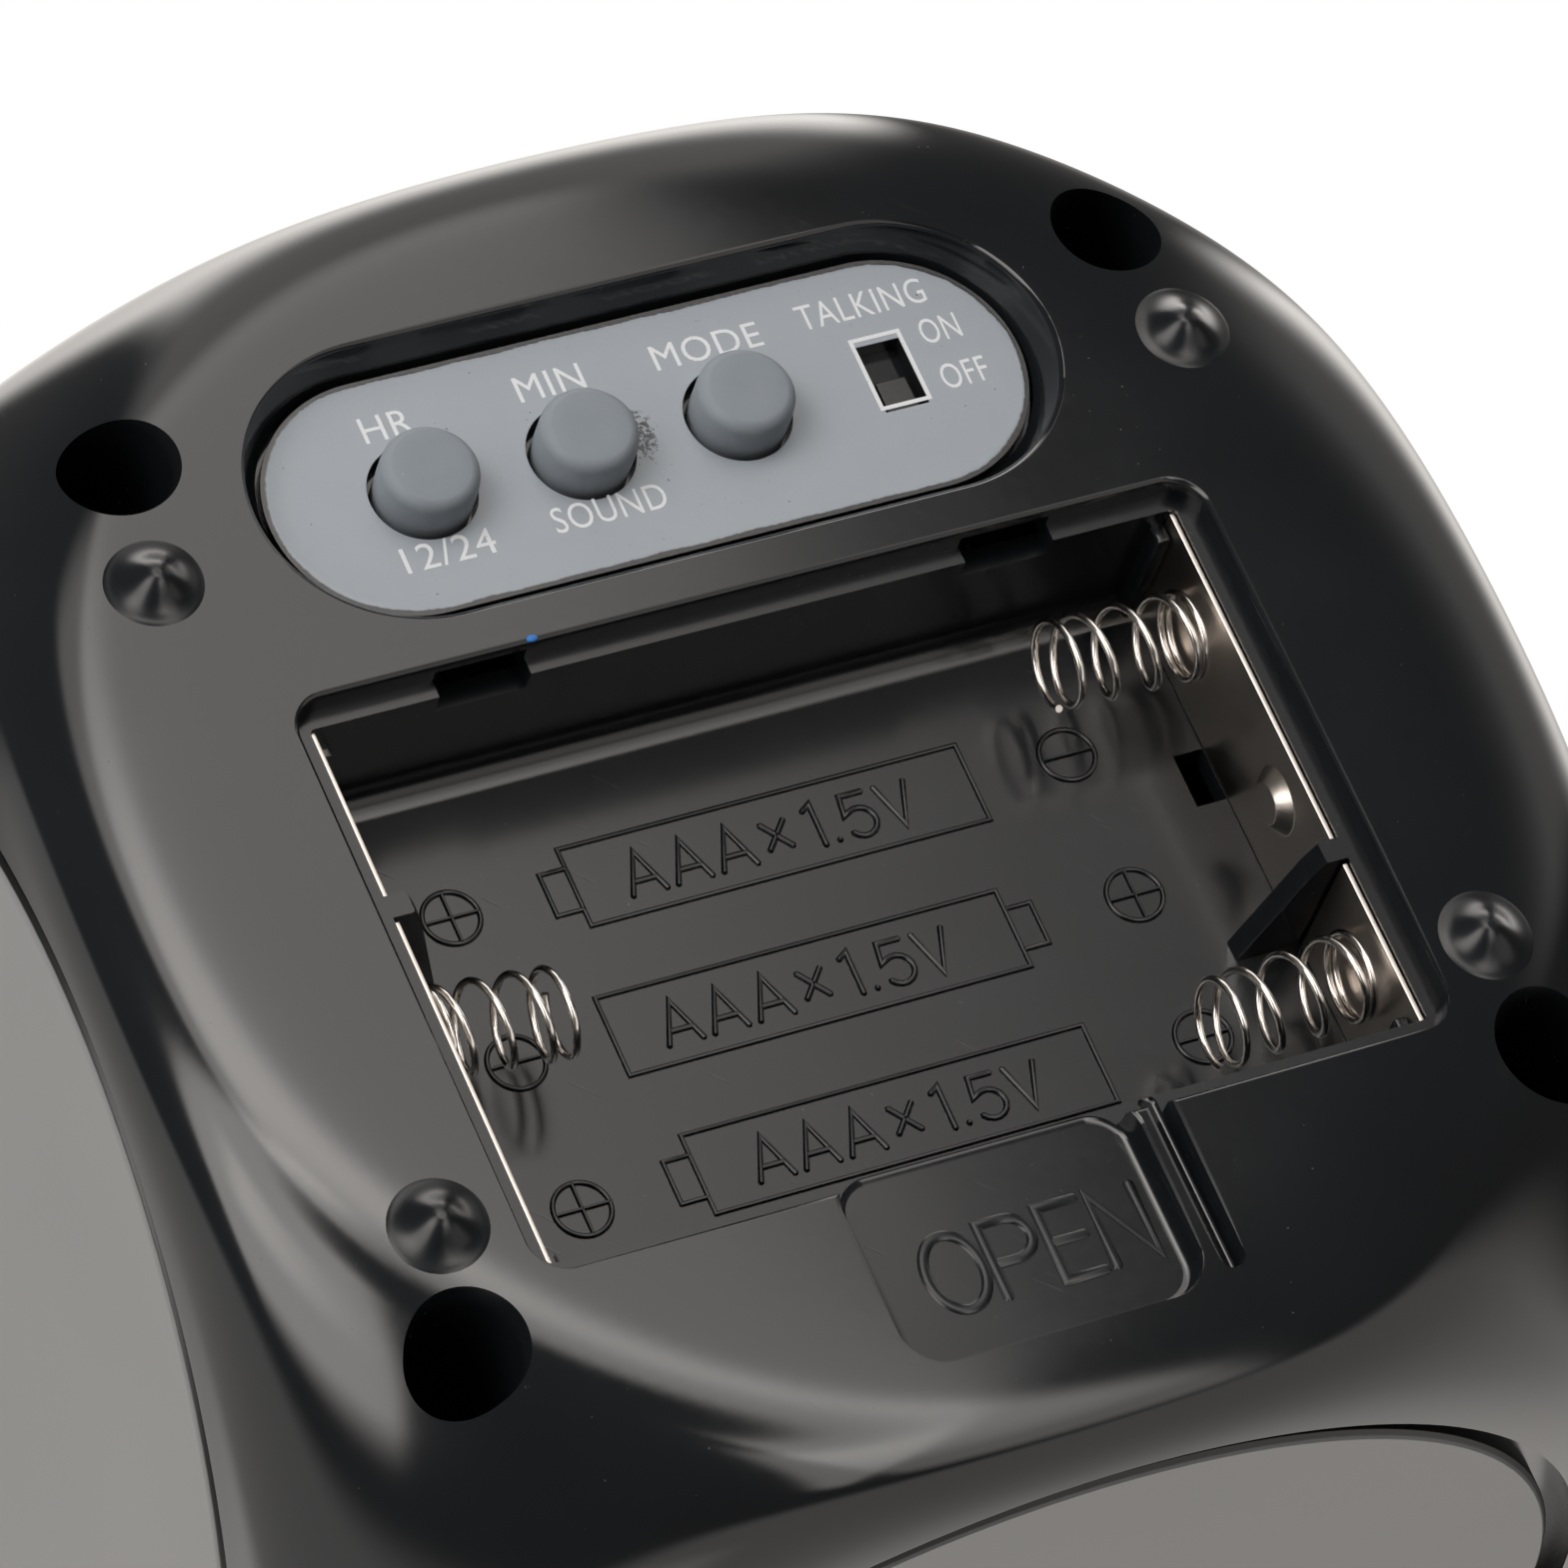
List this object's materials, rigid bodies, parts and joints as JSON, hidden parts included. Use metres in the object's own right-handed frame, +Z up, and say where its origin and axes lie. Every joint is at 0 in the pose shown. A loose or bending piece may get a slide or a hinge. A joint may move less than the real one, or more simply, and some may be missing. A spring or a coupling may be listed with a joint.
{
  "type": "talking clock",
  "caption": "Rounded-cube talking table clock with round grey side plates, a talk button on top, and a control panel and open battery bay in its base.",
  "frame": {"origin": "middle of the four nubs' tips, on the surface that the clock stands on", "axes": "+Z up, +Y to the back (the side of the battery door's thumb recess), +X to the right seen from above with the display at the front"},
  "size_m": [0.085, 0.0838, 0.0872],
  "materials": {
    "gloss_black": "polished moulded plastic",
    "satin_black": "fine satin moulded plastic",
    "grey_lacquer": "grey gloss lacquer",
    "silver_paint": "satin silver-grey paint",
    "grey_rubber": "moulded silicone rubber",
    "circuit_board": "green solder resist",
    "black_plastic": "moulded",
    "white_plastic": "moulded",
    "switch_case": "tinned sheet",
    "nickel": "nickel plate",
    "spring_wire": "nickel-plated wire",
    "screw_steel": "zinc plate",
    "speaker_metal": "pressed steel",
    "cone_paper": "coated paper",
    "strip_rubber": "striped contact rubber",
    "clear_plastic": "clear polished pane",
    "display_glass": "display cell with polariser"
  },
  "bodies": {
    "housing": {"lower_housing": "gloss_black", "upper_housing": "gloss_black", "front_plate": "grey_lacquer", "rear_plate": "grey_lacquer", "left_plate": "grey_lacquer", "right_plate": "grey_lacquer", "control_plate": "silver_paint", "key_board": "circuit_board", "key_switches": "black_plastic", "slide_switch": "switch_case", "contact_right_pair": "nickel", "contact_right_end": "nickel", "contact_left_end": "nickel", "contact_left_pair": "nickel", "spring_row_one": "spring_wire", "spring_row_two": "spring_wire", "spring_row_three": "spring_wire", "display_window": "clear_plastic", "display_glass": "display_glass", "display_holder": "white_plastic", "contact_strip": "strip_rubber", "main_board": "circuit_board", "voice_chip": "black_plastic", "speaker_basket": "speaker_metal", "speaker_cone": "cone_paper", "speaker_ring": "switch_case", "talk_spring": "spring_wire", "talk_switch": "black_plastic", "talk_board": "circuit_board", "housing_screws": "screw_steel", "main_board_screws": "screw_steel", "speaker_screws": "screw_steel", "talk_board_screws": "screw_steel", "key_board_screws": "screw_steel"},
    "hr_key": {"hr_button": "grey_rubber"},
    "min_key": {"min_button": "grey_rubber"},
    "mode_key": {"mode_button": "grey_rubber"},
    "talking_knob": {"switch_knob": "black_plastic"},
    "talk_key": {"talk_button": "satin_black"}
  },
  "joints": [
    {"name": "hr_press", "type": "slide", "parent": "housing", "child": "hr_key", "axis": [0, 0, 1], "range_m": [0, 0.0008], "stiffness_N_per_m": 400, "springref_m": -0.0005},
    {"name": "min_press", "type": "slide", "parent": "housing", "child": "min_key", "axis": [0, 0, 1], "range_m": [0, 0.0008], "stiffness_N_per_m": 400, "springref_m": -0.0005},
    {"name": "mode_press", "type": "slide", "parent": "housing", "child": "mode_key", "axis": [0, 0, 1], "range_m": [0, 0.0008], "stiffness_N_per_m": 400, "springref_m": -0.0005},
    {"name": "talk_press", "type": "slide", "parent": "housing", "child": "talk_key", "axis": [0, 0, -1], "range_m": [0, 0.0014], "stiffness_N_per_m": 1200, "springref_m": -0.001, "deforming": ["talk_spring"]},
    {"name": "talking_switch", "type": "slide", "parent": "housing", "child": "talking_knob", "axis": [0, -1, 0], "range_m": [0, 0.0018]}
  ]
}
